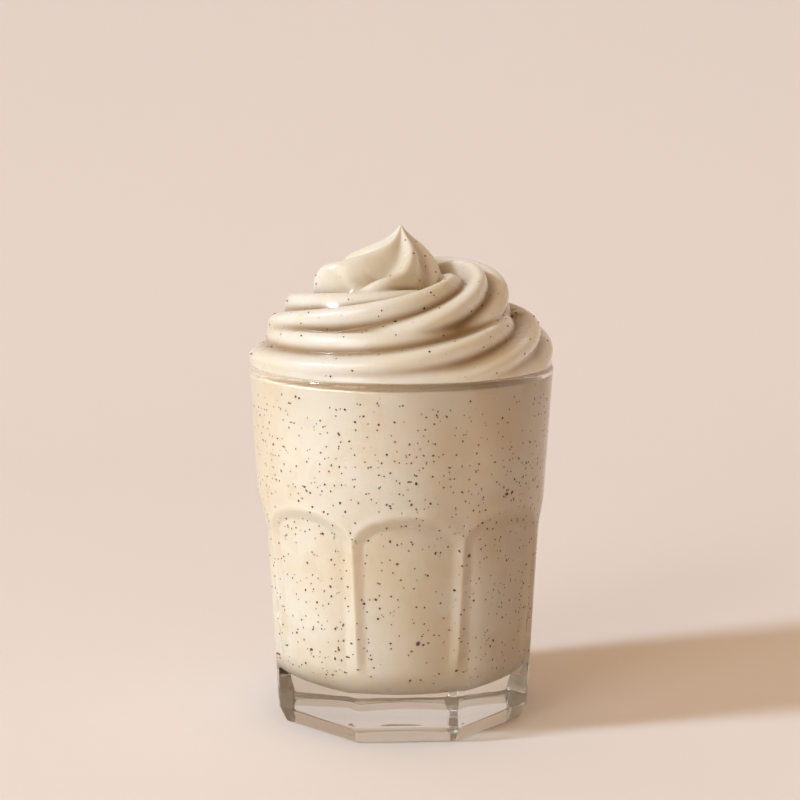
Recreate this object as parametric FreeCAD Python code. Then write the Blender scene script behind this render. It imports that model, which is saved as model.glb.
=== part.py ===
import FreeCAD, Part
import math
import os

# A tall milkshake: a pressed glass tumbler with arched facets, filled to the rim,
# and a piped swirl of the same cream standing on top.
# Millimetres, +Z up. The origin is the middle of the foot, on the table.

Vector = FreeCAD.Vector
UP = Vector(0, 0, 1)

# Tumbler, outside
glass_height = 103.2
rim_radius = 44.0
band_foot_height = 66.0        # where the smooth upper band ends
band_foot_radius = 41.8
bevel_height = 5.0             # the bevel round the foot
foot_edge_radius = 38.9        # round body above the bevel
bevel_inset = 2.2

# Tumbler, inside
rim_wall = 2.6
band_wall = 2.7                # wall at the foot of the band
cavity_low_radius = 35.0       # where the rounded corner of the cavity begins
cavity_corner = 9.0
base_thickness = 13.0
recess_radius = 28.5           # shallow hollow under the foot
recess_depth = 1.6

# Facets
facet_count = 8
facet_turn = 3.0               # degrees, the front facet turned towards +X
facet_low_apothem = 36.1       # middle of a facet, just above the bevel
facet_top_apothem = 39.0       # middle of a facet, at the top of its arch
arch_top_height = 60.5
arch_rise = 5.5
arch_half_width = 15.2
shoulder_depth = 3.0           # how far out the sloping shoulder is made
shoulder_rise = 7.0            # and how far it climbs over that depth

# Swirl: a ridged rope of cream, coiled up counter-clockwise and drawn out into a peak
swirl_height = 39.6            # from the rim to the tip
rim_margin = 0.1               # the swirl stays this far inside the rim's outer edge
ridge_spacing = 360 / 6.5      # degrees round the rope
ridge_depth = 0.17             # share of the rope's thickness
ridge_roundness = 0.6          # 0 for even waves, 1 for full ridges and narrow grooves
blend_width = 1.1              # how softly one coil runs into the next

# The rope has one value for each quarter turn: left, front, right, back and so on.
# It starts two quarters before the left side.
quarters_before_left = 2
# Reach is a share of the swirl's radius, rise of its height, thickness a radius in mm, and
# the ridge angle one ridge's place round the rope in degrees.
coil_reach = [0.993, 0.993, 1.0, 1.0, 0.997, 0.955, 0.882, 0.820, 0.728, 0.596, 0.444]
coil_rise = [-0.056, -0.035, 0.010, 0.053, 0.091, 0.162, 0.225, 0.293, 0.419, 0.439, 0.439]
rope_thickness = [10.0, 9.8, 9.7, 9.8, 10.0, 10.0, 9.8, 10.2, 10.7, 9.4, 7.5]
ridge_angle = [-45, -20, 10, 22, 118, 180, 236, 280, 374, 450, 520]

# The peak has one value for each 10 degrees of tilt, from 30 up to 90 at the tip.
# Distances are from the middle of the rim, as shares of the swirl's height.
peak_first_tilt = 30
peak_tilt_step = 10
peak_left = [0.657, 0.833, 0.917, 0.894, 0.869, 0.859, 0.848]
peak_right = [0.442, 0.505, 0.581, 0.644, 0.763, 0.838, 0.848]
peak_ridge_azimuth = [-130, -117, -103, -86, -74, -62, -56]
peak_ridge_count = 6
peak_ridge_depth = 6.2
peak_ridge_slope = 0.36        # grooves are no deeper than this share of the peak's radius
peak_lean = -165               # azimuth of the side it leans to, degrees
tip_height = 0.152             # the drawn-out tip, share of the swirl's height
tip_width = 6.3                # degrees of tilt over which it fades

core_radius = 0.75             # the solid middle under the coils, share of the swirl's radius
core_height = 0.55             # and of its height
seat_overhang = 0.4            # the cream's foot covers the crest of the lip by this much
seat_thickness = 6.0           # radius of the bead of cream there

column_count = 72              # points round the swirl
row_count = 34                 # rows from the rim to the tip
row_crowding = 1.5             # rows stand closer towards the tip

swirl_radius = rim_radius - rim_margin


def turned_profile(points):
    """A closed outline in the XZ plane, turned about the Z axis."""
    edges = []
    for start, end in zip(points, points[1:] + points[:1]):
        if len(end) == 3:
            middle = end[2]
            arc = Part.Arc(Vector(start[0], 0, start[1]), Vector(middle[0], 0, middle[1]),
                           Vector(end[0], 0, end[1]))
            edges.append(arc.toShape())
        else:
            edges.append(Part.makeLine(Vector(start[0], 0, start[1]), Vector(end[0], 0, end[1])))
    face = Part.Face(Part.Wire(edges))
    return face.revolve(Vector(0, 0, 0), UP, 360)


def corner_middle(centre, radius, angle):
    """A point on a circle in the XZ plane, at an angle in degrees."""
    turn = math.radians(angle)
    return (centre[0] + radius * math.cos(turn), centre[1] + radius * math.sin(turn))


def cavity_outline():
    """Inner wall from the axis at the cavity floor up to the crest of the lip."""
    lip = rim_wall / 2
    crest = (rim_radius - lip, glass_height)
    lip_centre = (crest[0], glass_height - lip)
    inner_top = (rim_radius - rim_wall, glass_height - lip)
    corner_centre = (cavity_low_radius - cavity_corner, base_thickness + cavity_corner)
    return [
        (0, base_thickness),
        (corner_centre[0], base_thickness),
        (cavity_low_radius, corner_centre[1], corner_middle(corner_centre, cavity_corner, -45)),
        (band_foot_radius - band_wall, band_foot_height),
        inner_top,
        (crest[0], crest[1], corner_middle(lip_centre, lip, 135)),
    ]


def make_blank():
    """The tumbler before its facets are cut."""
    lip = rim_wall / 2
    lip_centre = (rim_radius - lip, glass_height - lip)
    inside = cavity_outline()
    crest = inside[-1]
    outside = [
        (0, recess_depth),
        (recess_radius - recess_depth, recess_depth),
        (recess_radius, 0),
        (foot_edge_radius - bevel_inset, 0),
        (foot_edge_radius, bevel_height),
        (band_foot_radius, band_foot_height),
        (rim_radius, glass_height - lip),
        (crest[0], crest[1], corner_middle(lip_centre, lip, 45)),
    ]
    # the inner wall is walked from the crest down, so each arc ends where it began before
    down = []
    for index in range(len(inside) - 1, 0, -1):
        here, below = inside[index], inside[index - 1]
        if len(here) == 3:
            down.append((below[0], below[1], here[2]))
        else:
            down.append((below[0], below[1]))
    return turned_profile(outside + down)


def facet_wire(depth):
    """The outline of one facet, pushed outwards by a depth, in a frame whose X is outwards."""
    grow = shoulder_rise * depth / shoulder_depth
    slope = (facet_top_apothem - facet_low_apothem) / (arch_top_height - bevel_height)
    low = -glass_height
    spring = arch_top_height - arch_rise
    side = arch_half_width + grow

    def place(across, height):
        return Vector(facet_low_apothem + slope * (height - bevel_height) + depth, across, height)

    left, right = place(-side, spring), place(side, spring)
    crown = place(0, arch_top_height + grow)
    middle_height = spring + (arch_rise + grow) * math.sin(math.radians(45))
    middle_side = side * math.cos(math.radians(45))
    left_middle, right_middle = place(-middle_side, middle_height), place(middle_side, middle_height)
    arch = Part.BSplineCurve()
    arch.interpolate([left, left_middle, crown, right_middle, right],
                     InitialTangent=Vector(slope, 0, 1), FinalTangent=Vector(-slope, 0, -1))
    return Part.Wire([
        Part.makeLine(place(side, low), place(-side, low)),
        Part.makeLine(place(-side, low), left),
        arch.toShape(),
        Part.makeLine(right, place(side, low)),
    ])


def bevel_cutter():
    """What is cut from the foot below one facet, in the same frame."""
    outer = rim_radius + shoulder_depth
    corners = [
        Vector(facet_low_apothem - bevel_inset * 2, -rim_radius, -bevel_height),
        Vector(facet_low_apothem, -rim_radius, bevel_height),
        Vector(outer, -rim_radius, bevel_height),
        Vector(outer, -rim_radius, -bevel_height),
    ]
    face = Part.Face(Part.makePolygon(corners + corners[:1]))
    return face.extrude(Vector(0, 2 * rim_radius, 0))


def make_glass():
    glass = make_blank()
    facet = Part.makeLoft([facet_wire(0), facet_wire(shoulder_depth)], True, True)
    cutters = []
    for index in range(facet_count):
        angle = -90 + facet_turn + index * 360 / facet_count
        for tool in (facet, bevel_cutter()):
            cutter = tool.copy()
            cutter.rotate(Vector(0, 0, 0), UP, angle)
            cutters.append(cutter)
    return glass.cut(cutters)


def make_milkshake():
    inside = cavity_outline()
    return turned_profile(inside + [(0, glass_height)])


def between(values, place):
    """A smooth curve through evenly spaced values. The place counts the values from 0."""
    last = len(values) - 1
    place = min(max(place, 0.0), float(last))
    index = min(int(place), last - 1)
    t = place - index

    def slope(i):
        low, high = max(i - 1, 0), min(i + 1, last)
        return (values[high] - values[low]) / (high - low)

    return ((2 * t ** 3 - 3 * t ** 2 + 1) * values[index] + (t ** 3 - 2 * t ** 2 + t) * slope(index)
            + (3 * t ** 2 - 2 * t ** 3) * values[index + 1] + (t ** 3 - t ** 2) * slope(index + 1))


def ridge_wave(phase, roundness):
    """From -1 in a groove to 1 on a ridge."""
    wave = abs(math.cos(phase / 2))
    return 2 * (wave * roundness + wave * wave * (1 - roundness)) - 1


def soft_least(a, b, width):
    """The lesser of two values, rounded where they are nearly equal."""
    share = min(max(0.5 + 0.5 * (b - a) / width, 0.0), 1.0)
    return b * (1 - share) + a * share - width * share * (1 - share)


def rope_at(place):
    """The rope's middle radius, height, thickness and ridge angle at a count of quarter turns."""
    to_the_end = len(coil_reach) - 1 - place
    taper = 0.35 + 0.65 * min(to_the_end, 1.0)
    thickness = between(rope_thickness, place)
    middle = between(coil_reach, place) * swirl_radius - thickness * (1 + ridge_depth)
    height = glass_height + between(coil_rise, place) * swirl_height
    return middle, height, thickness * taper, math.radians(between(ridge_angle, place))


def coils_at(azimuth):
    """The rope's coils that cross the half plane at an azimuth."""
    start = (azimuth / (math.pi / 2) + 2) % 4 + quarters_before_left - 4
    places = [start, start + 4, start + 8]
    return [rope_at(place) for place in places if -2 <= place <= len(coil_reach) - 1]


def rope_distance(radius, height, coil):
    """How far a point lies outside one coil, in the half plane that cuts it."""
    middle, level, thickness, turn = coil
    out, up = radius - middle, height - level
    phase = (math.atan2(up, out) - turn) * 360 / ridge_spacing
    return math.hypot(out, up) - thickness * (1 + ridge_depth * ridge_wave(phase, ridge_roundness))


def peak_reach(azimuth, tilt):
    """Distance from the middle of the rim to the peak's surface along a ray."""
    degrees = math.degrees(tilt)
    place = (degrees - peak_first_tilt) / peak_tilt_step
    left, right = between(peak_left, place), between(peak_right, place)
    lean = 0.5 + 0.5 * math.cos(azimuth - math.radians(peak_lean))
    fade = min(max(place + 1.2, 0.0), 1.2) / 1.2
    reach = (right + (left - right) * lean) * fade + tip_height * math.exp((degrees - 90) / tip_width)
    reach *= swirl_height
    depth = min(peak_ridge_depth, peak_ridge_slope * reach * math.cos(tilt))
    turn = math.radians(between(peak_ridge_azimuth, place))
    return reach - depth * (1 - ridge_wave(peak_ridge_count * (azimuth - turn), 0)) / 2


def core_distance(radius, height):
    share = math.hypot(radius / (core_radius * swirl_radius), height / (core_height * swirl_height))
    return (share - 1) * core_height * swirl_height


def seat_distance(radius, rise):
    """The bead of cream that lies on the lip all the way round."""
    middle = rim_radius - rim_wall / 2 + seat_overhang - seat_thickness
    return math.hypot(radius - middle, rise) - seat_thickness


def swirl_point(azimuth, tilt, coils):
    """Walks in from outside along a ray from the middle of the rim to the swirl's surface."""
    peak = peak_reach(azimuth, tilt)
    reach = rim_radius + swirl_height / 2
    for _ in range(90):
        radius, rise = reach * math.cos(tilt), reach * math.sin(tilt)
        distance = 0.75 * (reach - peak)
        for coil in coils:
            distance = soft_least(distance, rope_distance(radius, glass_height + rise, coil), blend_width)
        distance = soft_least(distance, seat_distance(radius, rise), blend_width)
        distance = min(distance, core_distance(radius, rise))
        if distance < 0.01:
            break
        reach -= 0.75 * min(distance, 8.0)
    radius = min(radius, swirl_radius)
    return Vector(radius * math.cos(azimuth), radius * math.sin(azimuth), glass_height + rise)


def make_swirl():
    """Closed curves through the points of each row, lofted from the rim to the tip."""
    azimuths = [2 * math.pi * column / column_count for column in range(column_count)]
    coils = [coils_at(azimuth) for azimuth in azimuths]
    wires = []
    for row in range(row_count):
        tilt = math.pi / 2 * (1 - (1 - row / row_count) ** row_crowding)
        points = [swirl_point(azimuth, tilt, coils[i]) for i, azimuth in enumerate(azimuths)]
        curve = Part.BSplineCurve()
        curve.interpolate(points, PeriodicFlag=True)
        wires.append(Part.Wire([curve.toShape()]))
    tip = Part.Vertex(0, 0, glass_height + swirl_height)
    return Part.makeLoft(wires + [tip], True, True)


def only_solid(shape):
    """The one solid in a shape."""
    return shape.Solids[0] if len(shape.Solids) == 1 else shape


nodes = {
    "glass": make_glass(),
    "milkshake": make_milkshake(),
    "cream_swirl": make_swirl(),
}

os.makedirs("parts", exist_ok=True)
for name, shape in nodes.items():
    solid = only_solid(shape)
    solid.exportStep(f"parts/{name}.step")
    box = solid.optimalBoundingBox()
    print(name, solid.ShapeType, "valid" if solid.isValid() else "NOT VALID",
          f"volume {solid.Volume / 1000:.2f} cm3",
          f"x {box.XMin:.2f}..{box.XMax:.2f} y {box.YMin:.2f}..{box.YMax:.2f} z {box.ZMin:.2f}..{box.ZMax:.2f}")
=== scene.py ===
import math
import bpy
import numpy as np
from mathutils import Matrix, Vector


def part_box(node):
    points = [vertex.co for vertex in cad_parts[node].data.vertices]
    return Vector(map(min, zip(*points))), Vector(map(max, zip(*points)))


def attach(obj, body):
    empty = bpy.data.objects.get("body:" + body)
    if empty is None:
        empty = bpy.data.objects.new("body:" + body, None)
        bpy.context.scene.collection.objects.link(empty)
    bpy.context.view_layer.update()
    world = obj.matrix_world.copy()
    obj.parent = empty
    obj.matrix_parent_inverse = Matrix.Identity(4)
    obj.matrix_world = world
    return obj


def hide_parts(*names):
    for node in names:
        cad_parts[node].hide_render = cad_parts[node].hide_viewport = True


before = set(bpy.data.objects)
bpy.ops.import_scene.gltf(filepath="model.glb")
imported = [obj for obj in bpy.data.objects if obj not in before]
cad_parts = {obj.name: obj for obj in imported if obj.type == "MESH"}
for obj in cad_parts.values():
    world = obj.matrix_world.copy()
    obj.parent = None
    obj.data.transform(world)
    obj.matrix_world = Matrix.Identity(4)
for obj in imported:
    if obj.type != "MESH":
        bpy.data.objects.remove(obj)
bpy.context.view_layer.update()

# A tumbler of vanilla milkshake with a piped swirl. Shapes are worked out in millimetres
# and put into the meshes in metres. +Z is up, the viewer looks from -Y.
mm = 0.001
glassLow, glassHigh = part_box("glass")
swirlLow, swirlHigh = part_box("cream_swirl")
drinkLow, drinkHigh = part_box("milkshake")
rimHeight = glassHigh.z / mm
rimRadius = (glassHigh.x - glassLow.x) / 2 / mm
swirlHeight = (swirlHigh.z - swirlLow.z) / mm
cavityFloor = drinkLow.z / mm
crestRadius = (drinkHigh.x - drinkLow.x) / 2 / mm
print("frame loaded: rim", round(rimRadius, 1), "mm, height", round(rimHeight, 1), "mm")


def between(values, place):
    # a smooth cubic through evenly spaced values; place counts the values from 0
    values = np.asarray(values, float)
    last = len(values) - 1
    place = np.clip(place, 0, last)
    index = np.minimum(place.astype(int), last - 1)
    t = place - index
    slope = np.gradient(values)
    return ((2 * t**3 - 3 * t**2 + 1) * values[index] + (t**3 - 2 * t**2 + t) * slope[index]
            + (3 * t**2 - 2 * t**3) * values[index + 1] + (t**3 - t**2) * slope[index + 1])


def softLeast(a, b, width):
    # the lesser of two values, rounded where they are nearly equal
    share = np.clip(0.5 + 0.5 * (b - a) / width, 0, 1)
    return b * (1 - share) + a * share - width * share * (1 - share)


def smoothStep(low, high, value):
    # 0 below the low end, 1 above the high end, and a smooth cubic in between
    t = np.clip((value - low) / (high - low), 0, 1)
    return t * t * (3 - 2 * t)


def turnedMesh(name, radius, azimuth, height, startPole, endPole):
    # rows of points round the axis: x = radius cos(azimuth), y = radius sin(azimuth).
    # Faces point outwards where the rows climb the outside. Each pole is one vertex.
    rows, columns = radius.shape
    points = np.stack([radius * np.cos(azimuth), radius * np.sin(azimuth), height], -1).reshape(-1, 3)
    number = np.arange(rows * columns).reshape(rows, columns)
    lower, upper = number[:-1], number[1:]
    quads = np.stack([lower, np.roll(lower, -1, 1), np.roll(upper, -1, 1), upper], -1).reshape(-1, 4)
    first, last = number[0], number[-1]
    poles = np.array([[0, 0, startPole], [0, 0, endPole]], float)
    startFan = np.stack([np.full(columns, rows * columns), np.roll(first, -1), first], -1)
    endFan = np.stack([np.full(columns, rows * columns + 1), last, np.roll(last, -1)], -1)
    mesh = bpy.data.meshes.new(name)
    faces = quads.tolist() + startFan.tolist() + endFan.tolist()
    mesh.from_pydata((np.concatenate([points, poles]) * mm).tolist(), [], faces)
    mesh.polygons.foreach_set("use_smooth", np.ones(len(mesh.polygons), bool))
    mesh.update()
    piece = bpy.data.objects.new(name, mesh)
    bpy.context.scene.collection.objects.link(piece)
    return piece


def writePaintedShade(piece, paintedShade, poles):
    # the share of painted shade at each point, read by the cream's material
    values = np.concatenate([paintedShade.ravel(), poles])
    piece.data.attributes.new("paintedShade", "FLOAT", "POINT").data.foreach_set("value", values)


# The tumbler, in millimetres: round band above, flat arched facets and a flat bevel below.
tumbler = {
    "rimWall": 2.6, "bandFootHeight": 66.0, "bandFootRadius": 41.8, "bandWall": 2.7,
    "bevelHeight": 5.0, "footEdgeRadius": 38.9, "bevelInset": 2.2,
    "cavityLowRadius": 35.0, "cavityCorner": 9.0,
    "recessRadius": 28.5, "recessDepth": 0.1, "recessSlope": 1.0, "recessDome": 1.5,
    "facetCount": 8, "facetTurn": 3.0, "facetLow": 36.1, "facetTop": 39.0,
    "archTop": 60.5, "archRise": 5.5, "archHalfWidth": 15.2, "shoulderSlope": 0.43,
    "edgeSoftness": 0.45, "ridgeSoftness": 0.5, "bevelSoftness": 0.35, "footRounding": 0.6,
    "shoulderReach": 6.0, "leastCosine": 0.3, "columnsPerFacet": 52, "columnCrowding": 0.72,
}


def bodyRadius(t, z):
    # straight cone from the foot's edge to the band, and from the band to the rim
    lip = t["rimWall"] / 2
    return np.interp(z, [t["bevelHeight"], t["bandFootHeight"], rimHeight - lip],
                     [t["footEdgeRadius"], t["bandFootRadius"], rimRadius])


def outerRadius(t, azimuth, z):
    # the lesser of the round body and flat facets. Each facet leans with the body, runs out
    # through a sloping shoulder above its arch, and turns in at the foot as a flat bevel.
    step = 2 * math.pi / t["facetCount"]
    turn = math.radians(-90 + t["facetTurn"])
    body = bodyRadius(t, z)
    offset = np.mod(azimuth - turn + step / 2, step) - step / 2
    lean = (t["facetTop"] - t["facetLow"]) / (t["archTop"] - t["bevelHeight"])
    spring = t["archTop"] - t["archRise"]
    flats = []
    for delta in (offset, np.abs(offset) - step):
        up = np.maximum(z - spring, 0)
        reach = np.hypot(body * np.sin(delta) / t["archHalfWidth"], up / t["archRise"])
        beyond = np.maximum(reach - 1, 0) * t["archRise"] * (z > spring)
        plane = t["facetLow"] + lean * (z - t["bevelHeight"]) + t["shoulderSlope"] * beyond
        bevel = t["facetLow"] - t["bevelInset"] * (t["bevelHeight"] - z) / t["bevelHeight"]
        flat = softLeast(plane, bevel, t["bevelSoftness"])
        flats.append(flat / np.maximum(np.cos(delta), t["leastCosine"]))
    result = softLeast(softLeast(flats[0], flats[1], t["ridgeSoftness"]), body, t["edgeSoftness"])
    result = np.where(z > t["bandFootHeight"] + t["shoulderReach"], body, result)
    drop = np.clip(1 - z / t["footRounding"], 0, 1)
    return result - t["footRounding"] * (1 - np.sqrt(1 - drop**2))


def cornerArc(t):
    # the cavity's rounded corner: a quarter circle from the wall to just short of the floor
    turn = np.linspace(0, math.radians(88), 20)
    radius = t["cavityLowRadius"] - t["cavityCorner"] * (1 - np.cos(turn))
    return radius, cavityFloor + t["cavityCorner"] * (1 - np.sin(turn))


def cavityProfile(t):
    # inner wall from the crest of the lip down to the middle of the floor, as (radius, height)
    lip = t["rimWall"] / 2
    turn = np.linspace(math.radians(90), math.radians(180), 9)[1:]
    lipR = rimRadius - lip + lip * np.cos(turn)
    lipZ = rimHeight - lip + lip * np.sin(turn)
    cornerTop = cavityFloor + t["cavityCorner"]
    wallZ = np.concatenate([np.linspace(rimHeight - lip - 2, t["bandFootHeight"], 24),
                            np.linspace(t["bandFootHeight"] - 1.5, cornerTop + 1, 30)])
    cornerR, cornerZ = cornerArc(t)
    floorR = np.linspace(cornerR[-1] - 1, 1.5, 12)
    return (np.concatenate([lipR, cavityRadius(t, wallZ), cornerR, floorR]),
            np.concatenate([lipZ, wallZ, cornerZ, np.full(len(floorR), cavityFloor)]))


def cavityRadius(t, z):
    # straight from the top of the rounded corner to the band's foot, and from there to the lip
    heights = [cavityFloor + t["cavityCorner"], t["bandFootHeight"], rimHeight - t["rimWall"] / 2]
    return np.interp(z, heights, [t["cavityLowRadius"], t["bandFootRadius"] - t["bandWall"],
                                  rimRadius - t["rimWall"]])


def facetAzimuths(t):
    # columns round the axis, closer together near the ridges than at the middle of a facet
    count = t["columnsPerFacet"]
    step = 2 * math.pi / t["facetCount"]
    share = (np.arange(count) + 0.5) / count - 0.5
    share = share + t["columnCrowding"] * np.sin(2 * math.pi * share) / (2 * math.pi)
    middles = math.radians(-90 + t["facetTurn"]) + step * np.arange(t["facetCount"])
    return (middles[:, None] + step * share[None, :]).ravel()


def makeTumbler(t):
    # one closed skin of rows: the underside, the resting ring, the outside, the lip, the cavity
    azimuth = facetAzimuths(t)
    columns = len(azimuth)
    lip = t["rimWall"] / 2
    # the hollow: a parabolic dome that meets the resting ring in a small step
    stepIn = t["recessRadius"] - t["recessSlope"]
    underR = np.concatenate([np.linspace(1.5, stepIn - 1, 10), np.linspace(stepIn, t["recessRadius"], 9)])
    underZ = (t["recessDepth"] * (1 - smoothStep(stepIn, t["recessRadius"], underR))
              + t["recessDome"] * np.clip(1 - (underR / t["recessRadius"]) ** 2, 0, 1))
    ringShare = np.linspace(0.1, 1, 8)
    # heights stand closer together round the bevel's edge and over the arches
    outsideZ = np.concatenate([[0.1, 0.25, 0.6, 2.5],
                               np.linspace(t["bevelHeight"] - 0.6, t["bevelHeight"] + 0.6, 9),
                               np.linspace(t["bevelHeight"] + 1.6, 48, 26),
                               np.linspace(48.6, 72, 48),
                               np.linspace(73.5, rimHeight - lip - 1, 18)])
    lipTurn = np.linspace(0, math.radians(90), 10)
    lipR = rimRadius - lip + lip * np.cos(lipTurn)
    lipZ = rimHeight - lip + lip * np.sin(lipTurn)
    insideR, insideZ = cavityProfile(t)

    def level(radii):
        return np.repeat(radii[:, None], columns, 1)

    footR = outerRadius(t, azimuth[None, :], np.zeros((1, 1)))
    ring = t["recessRadius"] + (footR - t["recessRadius"]) * ringShare[:, None]
    outside = outerRadius(t, azimuth[None, :], outsideZ[:, None])
    radius = np.concatenate([level(underR), ring, outside, level(lipR), level(insideR)])
    height = np.concatenate([level(underZ), level(np.zeros(len(ringShare))), level(outsideZ),
                             level(lipZ), level(insideZ)])
    azimuths = np.repeat(azimuth[None, :], len(radius), 0)
    return turnedMesh("tumbler", radius, azimuths, height, t["recessDepth"] + t["recessDome"], cavityFloor)


# The drink: the cavity's shape, a little into the wall, up to the crest of the lip. Behind the
# facets it has sunken panels with low ribs at their edges.
drink = {
    "intoWall": 0.12, "floorReach": 20.0, "panelTop": 66.2, "panelRise": 9.0, "panelHalfWidth": 15.4,
    "panelDepth": 1.0, "panelEdge": 3.4, "panelRadius": 38.5, "leastSteepness": 0.004,
    "ribHeight": 0.3, "ribWidth": 1.5, "ribOffset": 0.2, "footFade": (17.0, 27.0), "bandFade": (70.0, 92.0),
    "neckDrop": 2.3, "neckDepth": 1.2, "neckRounding": 0.6, "neckShade": (-0.5, 0.3), "topGap": 0.02,
}


def drinkRelief(d, t, azimuth, z):
    # how far the drink stands out: everywhere but in the panels behind the facets, with a low
    # rib along each panel's edge. Half an ellipse on two straight sides gives the arched edge,
    # and its value over its slope the distance from it.
    step = 2 * math.pi / t["facetCount"]
    turn = math.radians(-90 + t["facetTurn"])
    spring = d["panelTop"] - d["panelRise"]
    across = (np.mod(azimuth - turn + step / 2, step) - step / 2) * d["panelRadius"]
    up = np.maximum(z - spring, 0)
    reach = np.hypot(across / d["panelHalfWidth"], up / d["panelRise"])
    steepness = np.hypot(across / d["panelHalfWidth"] ** 2, up / d["panelRise"] ** 2)
    outside = (reach - 1) * reach / np.maximum(steepness, d["leastSteepness"])
    raised = smoothStep(-d["panelEdge"], 0.0, outside)
    rib = d["ribHeight"] * np.exp(-((outside - d["ribOffset"]) / d["ribWidth"]) ** 2)
    fade = smoothStep(*d["footFade"], z) * (1 - smoothStep(*d["bandFade"], z))
    return fade * (d["panelDepth"] * raised + rib)


def makeDrink(d, t):
    # the cavity's profile a little into the wall, turned round the axis and pushed out by the
    # relief. Just under the lip it draws in to a neck, in the shade of the swirl's foot, and there it carries
    # painted shade.
    azimuth = facetAzimuths(t)
    edge = rimHeight - d["neckDrop"]
    top = rimHeight - d["topGap"]
    bottom = cavityFloor - d["intoWall"]
    cornerR, cornerZ = (values[::-1] for values in cornerArc(t))
    cornerZ = cornerZ - d["intoWall"] * np.linspace(1, 0, len(cornerZ))
    floorR = np.array([1.5, 8.0, 16.0, 22.0])
    wallZ = np.concatenate([np.linspace(cavityFloor + t["cavityCorner"] + 1, 52, 26),
                            np.linspace(52.8, 72, 34), np.linspace(73.5, edge - d["neckRounding"], 16)])
    turn = np.linspace(0, math.pi / 2, 6)[1:]
    edgeR = cavityRadius(t, edge) - d["neckRounding"] * (1 - np.cos(turn))
    edgeZ = edge - d["neckRounding"] * (1 - np.sin(turn))
    neckR = edgeR[-1] - d["neckDepth"] * np.array([0.5, 0.9, 1.0, 1.0, 1.0])
    neckZ = np.concatenate([[edge, edge + 0.1], np.linspace(edge + 0.5, top, 3)])
    topR = neckR[-1] * np.array([0.98, 0.6, 0.2])
    radius = np.concatenate([floorR, cornerR, cavityRadius(t, wallZ), edgeR, neckR, topR])[:, None]
    height = np.concatenate([np.full(len(floorR), bottom), cornerZ, wallZ, edgeZ, neckZ,
                             np.full(len(topR), top)])[:, None]
    radius = radius + d["intoWall"] * (radius > d["floorReach"]) + drinkRelief(d, t, azimuth[None, :], height)
    piece = turnedMesh("milkshakeFill", radius, np.repeat(azimuth[None, :], len(radius), 0),
                       np.repeat(height, len(azimuth), 1), bottom, top)
    # painted shade: the drink turns browner just under the swirl's foot, where the swirl's shadow falls
    shadeLow, shadeHigh = d["neckShade"]
    paintedShade = smoothStep(edge + shadeLow, edge + shadeHigh, height)
    writePaintedShade(piece, np.repeat(paintedShade, len(azimuth), 1), [0.0, 1.0])
    return piece


# The swirl: a ridged rope coiled up to a drawn-out peak. The rope has one value for each
# quarter turn, and the peak one for each step of tilt. Reach, rise and peak are shares.
swirl = {
    "rimMargin": 0.1, "ridgeSpacing": 360 / 6.5, "ridgeDepth": 0.17, "ridgeRoundness": 0.6, "blend": 1.1,
    "quartersBeforeLeft": 2,
    "coilReach": [0.993, 0.993, 1.0, 1.0, 0.997, 0.955, 0.882, 0.820, 0.728, 0.596, 0.444],
    "coilRise": [-0.056, -0.035, 0.010, 0.053, 0.091, 0.162, 0.225, 0.293, 0.419, 0.439, 0.439],
    "ropeThickness": [10.0, 9.8, 9.7, 9.8, 10.0, 10.0, 9.8, 10.2, 10.7, 9.4, 7.5],
    "ridgeAngle": [-45, -20, 10, 22, 118, 180, 236, 280, 374, 450, 520],
    "peakFirstTilt": 30, "peakTiltStep": 10,
    "peakLeft": [0.657, 0.833, 0.917, 0.894, 0.869, 0.859, 0.848],
    "peakRight": [0.442, 0.505, 0.581, 0.644, 0.763, 0.838, 0.848],
    "peakRidgeAzimuth": [-130, -117, -103, -86, -74, -62, -56],
    "peakRidgeCount": 6, "peakRidgeDepth": 6.2, "peakRidgeSlope": 0.36, "peakLean": -165,
    "tipHeight": 0.152, "tipWidth": 6.3, "coreRadius": 0.75, "coreHeight": 0.55,
    "seatOverhang": 0.4, "seatThickness": 6.0, "columns": 420, "rows": 230, "rowCrowding": 1.5,
    "endShare": 0.35, "noRope": -30, "peakFade": 1.2,
    "walkSteps": 46, "walkShare": 0.75, "longestStep": 8,
    # painted shade in the folds: the neighbourhood's size, the fold depth that is fully shaded, and its
    # softening
    "foldShadeSteps": 70, "foldShadeDepth": 0.8, "foldShadeSoftening": 5,
}


def ridgeWave(phase, roundness):
    # from -1 in a groove to 1 on a ridge
    wave = np.abs(np.cos(phase / 2))
    return 2 * (wave * roundness + wave * wave * (1 - roundness)) - 1


def ropeDistance(s, radius, height, azimuth, coil):
    # how far outside one coil of the rope a point lies, in the half plane that cuts it: its
    # distance from the rope's middle, less a thickness that waves with the ridges. The rope
    # thins out in its last quarter, and past its end the thickness is far below nothing.
    last = len(s["coilReach"]) - 1
    place = np.mod(azimuth / (math.pi / 2) + 2, 4) + s["quartersBeforeLeft"] - 4 + 4 * coil
    thickness = between(s["ropeThickness"], place)
    middle = between(s["coilReach"], place) * (rimRadius - s["rimMargin"]) - thickness * (1 + s["ridgeDepth"])
    level = rimHeight + between(s["coilRise"], place) * swirlHeight
    turn = np.radians(between(s["ridgeAngle"], place))
    thickness = thickness * (s["endShare"] + (1 - s["endShare"]) * np.clip(last - place, 0, 1))
    thickness = np.where(place <= last, thickness, s["noRope"])
    out, up = radius - middle, height - level
    phase = (np.arctan2(up, out) - turn) * 360 / s["ridgeSpacing"]
    return np.hypot(out, up) - thickness * (1 + s["ridgeDepth"] * ridgeWave(phase, s["ridgeRoundness"]))


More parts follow.
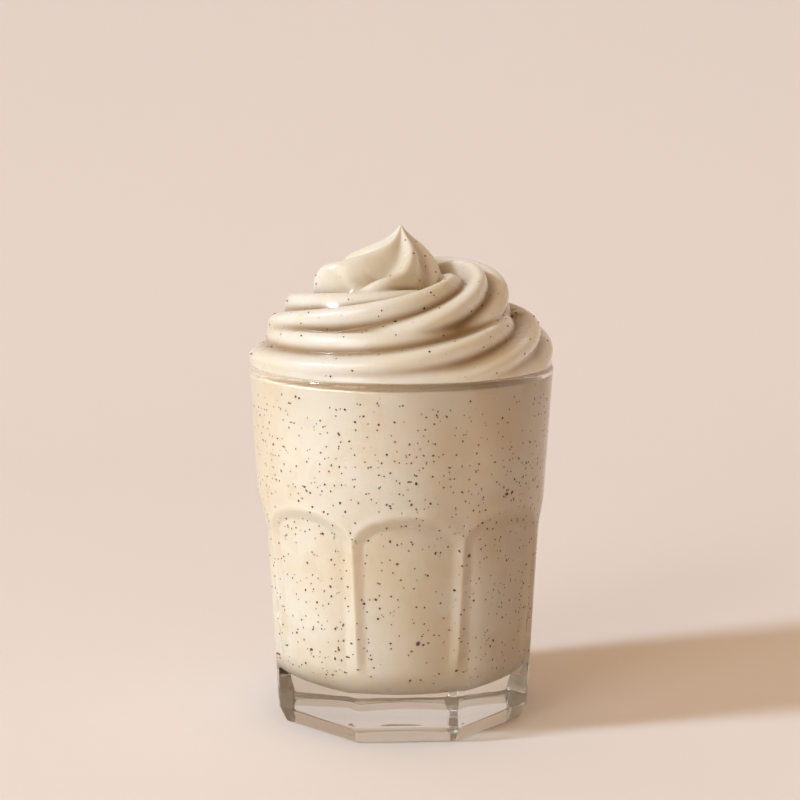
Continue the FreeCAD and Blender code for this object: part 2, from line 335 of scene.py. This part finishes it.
def peakReach(s, azimuth, tilt):
    # distance from the middle of the rim to the peak: one profile on the left, one on the right,
    # a tip that fades away, and grooves that wind round it
    degrees = np.degrees(tilt)
    place = (degrees - s["peakFirstTilt"]) / s["peakTiltStep"]
    left, right = between(s["peakLeft"], place), between(s["peakRight"], place)
    lean = 0.5 + 0.5 * np.cos(azimuth - math.radians(s["peakLean"]))
    fade = np.clip(place + s["peakFade"], 0, s["peakFade"]) / s["peakFade"]
    tip = s["tipHeight"] * np.exp((degrees - 90) / s["tipWidth"])
    reach = ((right + (left - right) * lean) * fade + tip) * swirlHeight
    depth = np.minimum(s["peakRidgeDepth"], s["peakRidgeSlope"] * reach * np.cos(tilt))
    turn = np.radians(between(s["peakRidgeAzimuth"], place))
    return reach - depth * (1 - ridgeWave(s["peakRidgeCount"] * (azimuth - turn), 0)) / 2


def blurred(grid, steps):
    # over and over, each point takes the mean of itself, counted twice, and its four neighbours
    for _ in range(steps):
        padded = np.concatenate([grid[:1], grid, grid[-1:]])
        grid = (2 * grid + padded[:-2] + padded[2:] + np.roll(grid, 1, 1) + np.roll(grid, -1, 1)) / 6
    return grid


def makeSwirl(s):
    # each point walks in along a ray towards the middle of the rim, until it meets the coils,
    # the peak, the bead on the lip or the solid middle
    azimuth = np.linspace(0, 2 * math.pi, s["columns"], endpoint=False)[None, :]
    tilt = (math.pi / 2 * (1 - (1 - np.arange(s["rows"]) / s["rows"]) ** s["rowCrowding"]))[:, None]
    peak = peakReach(s, azimuth, tilt)
    reach = np.full(peak.shape, rimRadius + swirlHeight / 2)
    seatMiddle = crestRadius + s["seatOverhang"] - s["seatThickness"]
    coreWide = s["coreRadius"] * (rimRadius - s["rimMargin"])
    coreHigh = s["coreHeight"] * swirlHeight
    for _ in range(s["walkSteps"]):
        radius, rise = reach * np.cos(tilt), reach * np.sin(tilt)
        distance = s["walkShare"] * (reach - peak)
        for coil in range(3):
            rope = ropeDistance(s, radius, rimHeight + rise, azimuth, coil)
            distance = softLeast(distance, rope, s["blend"])
        seat = np.hypot(radius - seatMiddle, rise) - s["seatThickness"]
        distance = softLeast(distance, seat, s["blend"])
        core = np.hypot(radius / coreWide, rise / coreHigh)
        distance = np.minimum(distance, (core - 1) * coreHigh)
        reach = reach - s["walkShare"] * np.minimum(distance, s["longestStep"])
    radius = np.minimum(reach * np.cos(tilt), rimRadius - s["rimMargin"])
    height = rimHeight + reach * np.sin(tilt)
    # painted shade in the creases: how deep each point lies in a fold, its reach against the mean of its
    # neighbourhood, sets how much shade is painted there
    paintedShade = np.clip((blurred(reach, s["foldShadeSteps"]) - reach) / s["foldShadeDepth"], 0, 1)
    paintedShade = blurred(paintedShade, s["foldShadeSoftening"])
    # the underside: in along the rim's plane to the middle
    inner = radius[:1] * np.array([[0.05], [0.4], [0.8], [0.95]])
    radius = np.concatenate([inner, radius])
    height = np.concatenate([np.full(inner.shape, rimHeight), height])
    azimuths = np.repeat(azimuth, len(radius), 0)
    piece = turnedMesh("creamSwirl", radius, azimuths, height, rimHeight, rimHeight + swirlHeight)
    writePaintedShade(piece, np.concatenate([np.zeros(inner.shape), paintedShade]), [0.0, 0.0])
    return piece


def newMaterial(name):
    # a material, with its node tree and its main shader
    material = bpy.data.materials.new(name)
    material.use_nodes = True
    tree = material.node_tree
    return material, tree, tree.nodes["Principled BSDF"]


def addNode(tree, kind, **values):
    # a node with some of its settings made
    node = tree.nodes.new(kind)
    for key, value in values.items():
        setattr(node, key, value)
    return node


def noiseOf(tree, place, scale, detail, rough=0.5):
    # a cloudy value at each place; the scale is how many clouds there are to a metre
    noise = addNode(tree, "ShaderNodeTexNoise")
    noise.inputs["Scale"].default_value = scale
    noise.inputs["Detail"].default_value = detail
    noise.inputs["Roughness"].default_value = rough
    tree.links.new(place, noise.inputs["Vector"])
    return noise.outputs["Fac"]


def ranged(tree, value, low, high, newLow=0.0, newHigh=1.0):
    # stretch a value from one range to another, smoothly at both ends
    node = addNode(tree, "ShaderNodeMapRange", interpolation_type="SMOOTHSTEP")
    for name, number in (("From Min", low), ("From Max", high), ("To Min", newLow), ("To Max", newHigh)):
        node.inputs[name].default_value = number
    tree.links.new(value, node.inputs["Value"])
    return node.outputs["Result"]


def mixed(tree, factor, a, b):
    # a colour between two colours; each may be a socket or a plain colour
    node = addNode(tree, "ShaderNodeMix", data_type="RGBA")
    sockets = [i for i in node.inputs if i.type == "RGBA"]
    for socket, value in zip(sockets, (a, b)):
        if isinstance(value, tuple):
            socket.default_value = (*value, 1)
        else:
            tree.links.new(value, socket)
    tree.links.new(factor, node.inputs["Factor"])
    return [o for o in node.outputs if o.type == "RGBA"][0]


def scaled(tree, value, by):
    # a value times a number or times another value
    node = addNode(tree, "ShaderNodeMath", operation="MULTIPLY")
    tree.links.new(value, node.inputs[0])
    if isinstance(by, float):
        node.inputs[1].default_value = by
    else:
        tree.links.new(by, node.inputs[1])
    return node.outputs[0]


# The cream's pattern, with sizes as repeats to a metre. Each kind of buried dot has its size,
# how wide a dot is in its cell, and the share of cells left bare.
creamGrain = {
    "clouds": 38, "patches": 150, "buriedDots": ((300, 0.15, 0.52), (190, 0.12, 0.58)),
    "ripples": 340, "glossPatches": 85, "roughness": (0.24, 0.40), "rippleHeight": 0.0006,
    "inside": (1.0, 0.7, 0.42), "insideDepth": 0.0022, "ior": 1.42, "coatRoughness": 0.16,
}


def creamToneGroup(grain):
    # whipped dairy: broad pale and warm clouds, small blurred dark dots of seeds under the
    # surface, a fine ripple for the bump and a roughness that wanders
    group = bpy.data.node_groups.new("creamTone", "ShaderNodeTree")
    for name, kind in (("Tint", "NodeSocketColor"), ("Warm Tint", "NodeSocketColor"),
                       ("Seed Tint", "NodeSocketColor"), ("Seed Amount", "NodeSocketFloat")):
        group.interface.new_socket(name, in_out="INPUT", socket_type=kind)
    for name, kind in (("Color", "NodeSocketColor"), ("Height", "NodeSocketFloat"),
                       ("Roughness", "NodeSocketFloat")):
        group.interface.new_socket(name, in_out="OUTPUT", socket_type=kind)
    given = addNode(group, "NodeGroupInput")
    out = addNode(group, "NodeGroupOutput")
    place = addNode(group, "ShaderNodeTexCoord").outputs["Object"]
    broad = ranged(group, noiseOf(group, place, grain["clouds"], 3), 0.36, 0.68)
    color = mixed(group, broad, given.outputs["Tint"], given.outputs["Warm Tint"])
    patch = ranged(group, noiseOf(group, place, grain["patches"], 2), 0.56, 0.74, 0.0, 0.55)
    color = mixed(group, patch, color, given.outputs["Warm Tint"])
    for scale, size, share in grain["buriedDots"]:
        cells = addNode(group, "ShaderNodeTexVoronoi")
        cells.inputs["Scale"].default_value = scale
        group.links.new(place, cells.inputs["Vector"])
        dot = ranged(group, cells.outputs["Distance"], size, size * 0.35)
        some = ranged(group, cells.outputs["Color"], share, share + 0.05)
        amount = scaled(group, scaled(group, dot, some), given.outputs["Seed Amount"])
        color = mixed(group, amount, color, given.outputs["Seed Tint"])
    group.links.new(color, out.inputs["Color"])
    group.links.new(noiseOf(group, place, grain["ripples"], 3, 0.55), out.inputs["Height"])
    gloss = ranged(group, noiseOf(group, place, grain["glossPatches"], 2), 0.3, 0.7, *grain["roughness"])
    group.links.new(gloss, out.inputs["Roughness"])
    return group


# The drink's and the swirl's own tints of the cream; their fold tints are painted shade.
fillFinish = {
    "tint": (0.80, 0.71, 0.58), "warmTint": (0.765, 0.63, 0.455), "seedTint": (0.36, 0.31, 0.26),
    "seedAmount": 0.6, "ripple": 0.08, "softness": 0.3, "paintedShadeTint": (0.72, 0.49, 0.26), "paintedShadeAmount": 0.5,
    "gloss": 0.0,
}
creamFinish = {
    "tint": (0.825, 0.795, 0.715), "warmTint": (0.79, 0.73, 0.575), "seedTint": (0.45, 0.38, 0.30),
    "seedAmount": 0.35, "ripple": 0.10, "softness": 0.25, "paintedShadeTint": (0.34, 0.21, 0.095), "paintedShadeAmount": 1.0,
    "gloss": 0.55,
}


def creamMaterial(name, finish, grain):
    # the shared cream tone, with painted shade in the folds, a soft inside and a wet gloss
    material, tree, shader = newMaterial(name)
    tone = addNode(tree, "ShaderNodeGroup", node_tree=bpy.data.node_groups["creamTone"])
    tone.inputs["Tint"].default_value = (*finish["tint"], 1)
    tone.inputs["Warm Tint"].default_value = (*finish["warmTint"], 1)
    tone.inputs["Seed Tint"].default_value = (*finish["seedTint"], 1)
    tone.inputs["Seed Amount"].default_value = finish["seedAmount"]
    bump = addNode(tree, "ShaderNodeBump")
    bump.inputs["Strength"].default_value = finish["ripple"]
    bump.inputs["Distance"].default_value = grain["rippleHeight"]
    tree.links.new(tone.outputs["Height"], bump.inputs["Height"])
    tree.links.new(bump.outputs["Normal"], shader.inputs["Normal"])
    # painted shade: browner where the attribute marks a crease, or the drink just under the swirl's foot
    paintedShade = addNode(tree, "ShaderNodeAttribute", attribute_name="paintedShade")
    depth = scaled(tree, paintedShade.outputs["Fac"], finish["paintedShadeAmount"])
    color = mixed(tree, depth, tone.outputs["Color"], finish["paintedShadeTint"])
    tree.links.new(color, shader.inputs["Base Color"])
    tree.links.new(tone.outputs["Roughness"], shader.inputs["Roughness"])
    shader.inputs["Subsurface Weight"].default_value = finish["softness"]
    shader.inputs["Subsurface Radius"].default_value = grain["inside"]
    shader.inputs["Subsurface Scale"].default_value = grain["insideDepth"]
    shader.inputs["IOR"].default_value = grain["ior"]
    shader.inputs["Coat Weight"].default_value = finish["gloss"]
    shader.inputs["Coat Roughness"].default_value = grain["coatRoughness"]
    return material


# Dark seeds and pale ones, each with a darker and a lighter tone; sizes are repeats to a metre.
seedFinish = {
    "dark": ((0.085, 0.026, 0.004), (0.17, 0.055, 0.010)),
    "pale": ((0.20, 0.095, 0.035), (0.38, 0.22, 0.10)),
    "tones": 420, "pits": 9000, "pitStrength": 0.4, "pitDepth": 0.00005, "roughness": 0.6, "shine": 0.08,
}


def seedMaterial(name, finish, tones):
    # each seed takes its own tone from a coarse noise, and its skin is finely pitted
    material, tree, shader = newMaterial(name)
    place = addNode(tree, "ShaderNodeTexCoord").outputs["Object"]
    tone = ranged(tree, noiseOf(tree, place, finish["tones"], 1), 0.38, 0.66)
    tree.links.new(mixed(tree, tone, *tones), shader.inputs["Base Color"])
    bump = addNode(tree, "ShaderNodeBump")
    bump.inputs["Strength"].default_value = finish["pitStrength"]
    bump.inputs["Distance"].default_value = finish["pitDepth"]
    tree.links.new(noiseOf(tree, place, finish["pits"], 2), bump.inputs["Height"])
    tree.links.new(bump.outputs["Normal"], shader.inputs["Normal"])
    shader.inputs["Roughness"].default_value = finish["roughness"]
    shader.inputs["Specular IOR Level"].default_value = finish["shine"]
    return material


# The glass. Its shadow is tinted, more so under its solid foot, and its bevel carries painted shade; heights
# are in millimetres.
glassFinish = {
    "tint": (0.985, 0.99, 0.985), "ior": 1.5, "waves": 60, "waveStrength": 0.08, "waveDepth": 0.002,
    "smears": 140, "roughness": (0.012, 0.05),
    "shadowTint": (0.79, 0.80, 0.80), "heavyTint": (0.48, 0.47, 0.45), "heavyLow": 10.0, "heavyTop": 17.0,
    "footTint": (0.82, 0.84, 0.845), "bevelPaintedShade": (0.60, 0.53, 0.43), "bevelTop": 5.0, "bevelBlend": 0.3,
}


def clearGlass(finish):
    # pressed soda glass: faint waves in the surface; light reaches through it as soft shadow
    material, tree, shader = newMaterial("pressedClearGlass")
    shader.inputs["IOR"].default_value = finish["ior"]
    shader.inputs["Transmission Weight"].default_value = 1.0
    place = addNode(tree, "ShaderNodeTexCoord").outputs["Object"]
    bump = addNode(tree, "ShaderNodeBump")
    bump.inputs["Strength"].default_value = finish["waveStrength"]
    bump.inputs["Distance"].default_value = finish["waveDepth"]
    tree.links.new(noiseOf(tree, place, finish["waves"], 1), bump.inputs["Height"])
    tree.links.new(bump.outputs["Normal"], shader.inputs["Normal"])
    smear = ranged(tree, noiseOf(tree, place, finish["smears"], 3), 0.45, 0.8, *finish["roughness"])
    tree.links.new(smear, shader.inputs["Roughness"])
    clear = addNode(tree, "ShaderNodeBsdfTransparent")
    split = addNode(tree, "ShaderNodeSeparateXYZ")
    tree.links.new(place, split.inputs[0])
    foot = ranged(tree, split.outputs["Z"], finish["heavyTop"] * mm, finish["heavyLow"] * mm)
    tree.links.new(mixed(tree, foot, finish["shadowTint"], finish["heavyTint"]), clear.inputs["Color"])
    # painted shade: the bevel's brown base colour stands for the shadowed floor seen through it
    edge, blend = finish["bevelTop"], finish["bevelBlend"]
    bevel = ranged(tree, split.outputs["Z"], (edge + blend) * mm, (edge - blend) * mm)
    body = mixed(tree, foot, finish["tint"], finish["footTint"])
    tree.links.new(mixed(tree, bevel, body, finish["bevelPaintedShade"]), shader.inputs["Base Color"])
    light = addNode(tree, "ShaderNodeLightPath")
    mix = addNode(tree, "ShaderNodeMixShader")
    out = tree.nodes["Material Output"]
    tree.links.new(light.outputs["Is Shadow Ray"], mix.inputs[0])
    tree.links.new(shader.outputs[0], mix.inputs[1])
    tree.links.new(clear.outputs[0], mix.inputs[2])
    tree.links.new(mix.outputs[0], out.inputs["Surface"])
    return material


# Vanilla seeds, in millimetres, thickest round a band of height.
fillSeeds = {
    "count": 2100, "low": 16.0, "high": 98.5, "bandMiddle": 75.0, "bandWidth": 11.0, "bandExtra": 0.7,
    "radius": 0.25, "spread": 0.24, "flatness": 0.6, "paleShare": 0.25, "steepest": 0.5, "faceShare": 0.8,
    "lengths": (0.9, 1.5), "randomSeed": 11,
}
swirlSeeds = {
    "count": 230, "low": 104.0, "high": 150.0, "bandMiddle": 112.0, "bandWidth": 9.0, "bandExtra": 0.8,
    "radius": 0.235, "spread": 0.26, "flatness": 0.6, "paleShare": 0.25, "steepest": 2.0, "faceShare": 0.8,
    "lengths": (0.9, 1.5), "randomSeed": 23,
}


def seedBall():
    # a small ball as points and triangles: two rings of six points and two poles
    ring = np.arange(6) * math.pi / 3
    ball = np.array([[0.87 * math.cos(a + twist), 0.87 * math.sin(a + twist), level]
                     for level, twist in ((-0.5, 0.0), (0.5, 0.5)) for a in ring] + [[0, 0, -1], [0, 0, 1]])
    triangles = []
    for i in range(6):
        j = (i + 1) % 6
        triangles += [(i, j, j + 6), (i, j + 6, i + 6), (12, j, i), (13, i + 6, j + 6)]
    return ball, np.array(triangles)


def scatterSeeds(name, host, settings, kinds):
    # seeds lie half sunk in a host surface: faces are drawn at random by area, and each seed is
    # a squashed ball at a random place in its face, turned at random in the face's plane
    chance = np.random.default_rng(settings["randomSeed"])
    faces = len(host.data.polygons)
    centers, normals, areas = np.empty(faces * 3), np.empty(faces * 3), np.empty(faces)
    host.data.polygons.foreach_get("center", centers)
    host.data.polygons.foreach_get("normal", normals)
    host.data.polygons.foreach_get("area", areas)
    centers, normals = centers.reshape(-1, 3), normals.reshape(-1, 3)
    height = centers[:, 2] / mm
    band = np.exp(-((height - settings["bandMiddle"]) / settings["bandWidth"]) ** 2)
    inside = (height > settings["low"]) & (height < settings["high"])
    weight = areas * (1 + settings["bandExtra"] * band)
    weight = weight * inside * (np.abs(normals[:, 2]) < settings["steepest"])
    chosen = chance.choice(faces, settings["count"], p=weight / weight.sum())
    normal = normals[chosen]
    side = np.cross(normal, [0.0, 0.02, 1.0])
    side /= np.linalg.norm(side, axis=1)[:, None]
    rise = np.cross(side, normal)
    turn = chance.uniform(0, 2 * math.pi, settings["count"])[:, None]
    across = side * np.cos(turn) + rise * np.sin(turn)
    along = np.cross(normal, across)
    shift = (chance.random((settings["count"], 2)) - 0.5) * np.sqrt(areas[chosen])[:, None]
    shift = shift * settings["faceShare"]
    middle = centers[chosen] + across * shift[:, :1] + along * shift[:, 1:]
    size = settings["radius"] * np.exp(settings["spread"] * chance.standard_normal(settings["count"])) * mm
    length = chance.uniform(*settings["lengths"], settings["count"])
    ball, triangles = seedBall()
    dark = chance.random(settings["count"]) > settings["paleShare"]
    for kind, material, wanted in kinds:
        pick = dark == wanted
        scale = size[pick][:, None, None]
        points = (middle[pick][:, None, :]
                  + ball[None, :, :1] * across[pick][:, None, :] * scale * length[pick][:, None, None]
                  + ball[None, :, 1:2] * along[pick][:, None, :] * scale
                  + ball[None, :, 2:] * normal[pick][:, None, :] * scale * settings["flatness"])
        numbers = triangles[None, :, :] + len(ball) * np.arange(pick.sum())[:, None, None]
        mesh = bpy.data.meshes.new(name + kind)
        mesh.from_pydata(points.reshape(-1, 3).tolist(), [], numbers.reshape(-1, 3).tolist())
        mesh.polygons.foreach_set("use_smooth", np.ones(len(mesh.polygons), bool))
        mesh.materials.append(material)
        piece = bpy.data.objects.new(name + kind, mesh)
        bpy.context.scene.collection.objects.link(piece)
        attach(piece, "root")


# The floor and what stands behind it, in metres and degrees.
stage = {
    "front": -15.0, "arcStart": 0.35, "arcRadius": 1.1, "steepest": 68, "drop": 0.0001, "rise": 2.0,
    "halfWidth": 15.0, "color": (0.92, 0.86, 0.82), "roughness": 0.9,
}


def makeStage(s):
    # a sheet that lies flat, climbs an arc behind the glass and goes on as a straight slope
    steepest = math.radians(s["steepest"])
    turn = np.linspace(0, steepest, 24)
    depth = np.concatenate([[s["front"]], s["arcStart"] + s["arcRadius"] * np.sin(turn)])
    height = np.concatenate([[0.0], s["arcRadius"] * (1 - np.cos(turn))]) - s["drop"]
    depth = np.append(depth, depth[-1] + s["rise"] * math.cos(steepest))
    height = np.append(height, height[-1] + s["rise"] * math.sin(steepest))
    x = np.array([-s["halfWidth"], s["halfWidth"]])
    points = np.stack([np.repeat(x[None, :], len(depth), 0), np.repeat(depth[:, None], 2, 1),
                       np.repeat(height[:, None], 2, 1)], -1).reshape(-1, 3)
    faces = [(2 * i, 2 * i + 1, 2 * i + 3, 2 * i + 2) for i in range(len(depth) - 1)]
    mesh = bpy.data.meshes.new("studioSweep")
    mesh.from_pydata(points.tolist(), [], faces)
    mesh.polygons.foreach_set("use_smooth", np.ones(len(faces), bool))
    sweep = bpy.data.objects.new("studioSweep", mesh)
    bpy.context.scene.collection.objects.link(sweep)
    material, tree, shader = newMaterial("paleSweep")
    shader.inputs["Base Color"].default_value = (*s["color"], 1)
    shader.inputs["Roughness"].default_value = s["roughness"]
    mesh.materials.append(material)


# The viewer, in metres, degrees and millimetres of lens.
viewer = {"place": (-0.00026, -0.54133, 0.18138), "lookDown": 9.4, "lens": 85.02, "sensor": 36}


def makeCamera(v):
    # a camera at its place, tipped down from level
    camera = bpy.data.cameras.new("camera")
    camera.sensor_width = v["sensor"]
    camera.lens = v["lens"]
    place = bpy.data.objects.new("camera", camera)
    place.location = v["place"]
    place.rotation_euler = (math.radians(90 - v["lookDown"]), 0, 0)
    bpy.context.scene.collection.objects.link(place)
    bpy.context.scene.camera = place


# Soft daylight from the left, a warm panel at the front left and a warm dim room.
studio = {
    "keyAzimuth": 197, "keyHeight": 31, "keyStrength": 2.2, "keyColor": (0.71, 0.85, 1.0), "keyWidth": 8,
    "panelPlace": (-0.70, -0.88, 0.52), "panelSize": (0.5, 0.8), "panelPower": 3.9,
    "panelColor": (1.0, 0.96, 0.90),
    "horizonColor": (0.25, 0.16, 0.09), "zenithColor": (0.60, 0.40, 0.237),
}


def hang(light, name, towards):
    # a light that shines from the side that towards points to
    holder = bpy.data.objects.new(name, light)
    holder.rotation_euler = Vector(towards).to_track_quat("Z", "Y").to_euler()
    bpy.context.scene.collection.objects.link(holder)
    return holder


def makeLights(s):
    # a broad sun, a rectangular panel and the room round them
    key = bpy.data.lights.new("key", "SUN")
    key.energy = s["keyStrength"]
    key.color = s["keyColor"]
    key.angle = math.radians(s["keyWidth"])
    turn, lift = math.radians(s["keyAzimuth"]), math.radians(s["keyHeight"])
    hang(key, "key", (math.cos(turn) * math.cos(lift), math.sin(turn) * math.cos(lift), math.sin(lift)))
    panel = bpy.data.lights.new("windowPanel", "AREA")
    panel.shape = "RECTANGLE"
    panel.size, panel.size_y = s["panelSize"]
    panel.energy = s["panelPower"]
    panel.color = s["panelColor"]
    hang(panel, "windowPanel", s["panelPlace"]).location = s["panelPlace"]
    # the room brightens from the horizon up to the zenith
    world = bpy.data.worlds.new("room")
    world.use_nodes = True
    tree = world.node_tree
    split = addNode(tree, "ShaderNodeSeparateXYZ")
    tree.links.new(addNode(tree, "ShaderNodeTexCoord").outputs["Generated"], split.inputs[0])
    color = mixed(tree, split.outputs["Z"], s["horizonColor"], s["zenithColor"])
    tree.links.new(color, tree.nodes["Background"].inputs["Color"])
    bpy.context.scene.world = world
    bpy.context.scene.view_settings.view_transform = "Standard"


tumblerPiece = makeTumbler(tumbler)
tumblerPiece.data.materials.append(clearGlass(glassFinish))
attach(tumblerPiece, "root")
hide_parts("glass")
print("tumbler made")

creamToneGroup(creamGrain)
fillPiece = makeDrink(drink, tumbler)
fillPiece.data.materials.append(creamMaterial("milkshakeInGlass", fillFinish, creamGrain))
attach(fillPiece, "root")
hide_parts("milkshake")
print("drink made")

swirlPiece = makeSwirl(swirl)
swirlPiece.data.materials.append(creamMaterial("pipedCream", creamFinish, creamGrain))
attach(swirlPiece, "root")
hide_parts("cream_swirl")
print("swirl made")

seedKinds = [("Dark", seedMaterial("darkSeed", seedFinish, seedFinish["dark"]), True),
             ("Pale", seedMaterial("paleSeed", seedFinish, seedFinish["pale"]), False)]
scatterSeeds("fillSeeds", fillPiece, fillSeeds, seedKinds)
scatterSeeds("swirlSeeds", swirlPiece, swirlSeeds, seedKinds)
print("seeds scattered")

makeStage(stage)
makeCamera(viewer)
makeLights(studio)
print("stage, camera and lights set")
